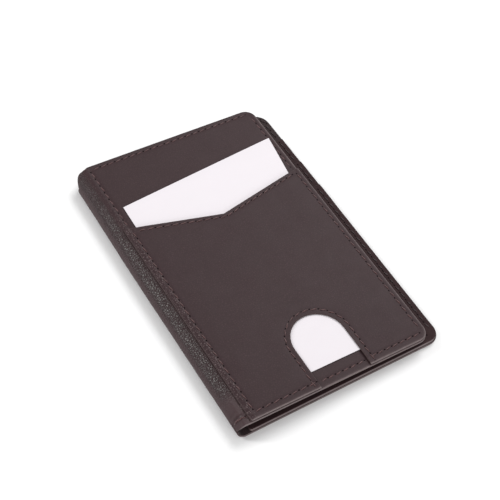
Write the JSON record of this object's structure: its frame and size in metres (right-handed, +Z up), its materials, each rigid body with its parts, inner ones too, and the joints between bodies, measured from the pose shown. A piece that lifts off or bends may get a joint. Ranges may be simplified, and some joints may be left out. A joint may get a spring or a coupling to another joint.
{
  "type": "minimalist bifold wallet",
  "caption": "Slim portrait leather bifold with an outside card pocket that has a chevron mouth and a thumb notch, closed.",
  "frame": {"origin": "middle of the footprint, on the surface that the back cover rests on", "axes": "+X from the spine towards the free edges, +Y along the length towards the end where the insert stands out, +Z up through the closed leaves"},
  "size_m": [0.0768, 0.1102, 0.0078],
  "materials": {
    "outer_leather": "smooth dark brown leather, low sheen, painted edges",
    "grained_leather": "pebbled dark brown leather with a soft sheen",
    "inner_leather": "thin dark brown leather, matt",
    "lining_cloth": "fine woven dark lining",
    "thread": "waxed dark red-brown sewing thread",
    "paper": "matt white card stock",
    "clear_film": "clear flexible film"
  },
  "bodies": {
    "back_leaf": {"back_cover": "outer_leather", "back_lining": "lining_cloth", "back_slot_rear": "inner_leather", "back_slot_middle": "inner_leather", "back_slot_front": "inner_leather", "slot_thread_rear": "thread", "slot_thread_middle": "thread", "slot_thread_front": "thread", "back_seam_thread": "thread"},
    "spine": {"spine_cover": "grained_leather", "spine_lining": "lining_cloth"},
    "front_leaf": {"window_frame": "inner_leather", "id_window": "clear_film", "window_thread": "thread", "front_lining": "lining_cloth", "front_cover": "outer_leather", "front_panel": "outer_leather", "thumb_pocket": "outer_leather", "front_seam_thread": "thread", "chevron_thread": "thread", "notch_thread": "thread"},
    "insert": {"insert_card": "paper"}
  },
  "joints": [
    {"name": "back_crease", "type": "hinge", "parent": "back_leaf", "child": "spine", "pos_m": [-0.03773, 0, 0.00147], "axis": [0, -1, 0], "range_deg": [0, 90]},
    {"name": "front_crease", "type": "hinge", "parent": "spine", "child": "front_leaf", "pos_m": [-0.03773, 0, 0.00639], "axis": [0, -1, 0], "range_deg": [0, 91.79]},
    {"name": "insert_slide", "type": "slide", "parent": "front_leaf", "child": "insert", "axis": [0, 1, 0], "range_m": [-0.003, 0.06]}
  ],
  "couplings": [
    {"joint": "front_crease", "follows": "back_crease", "ratio": 1.0199}
  ]
}
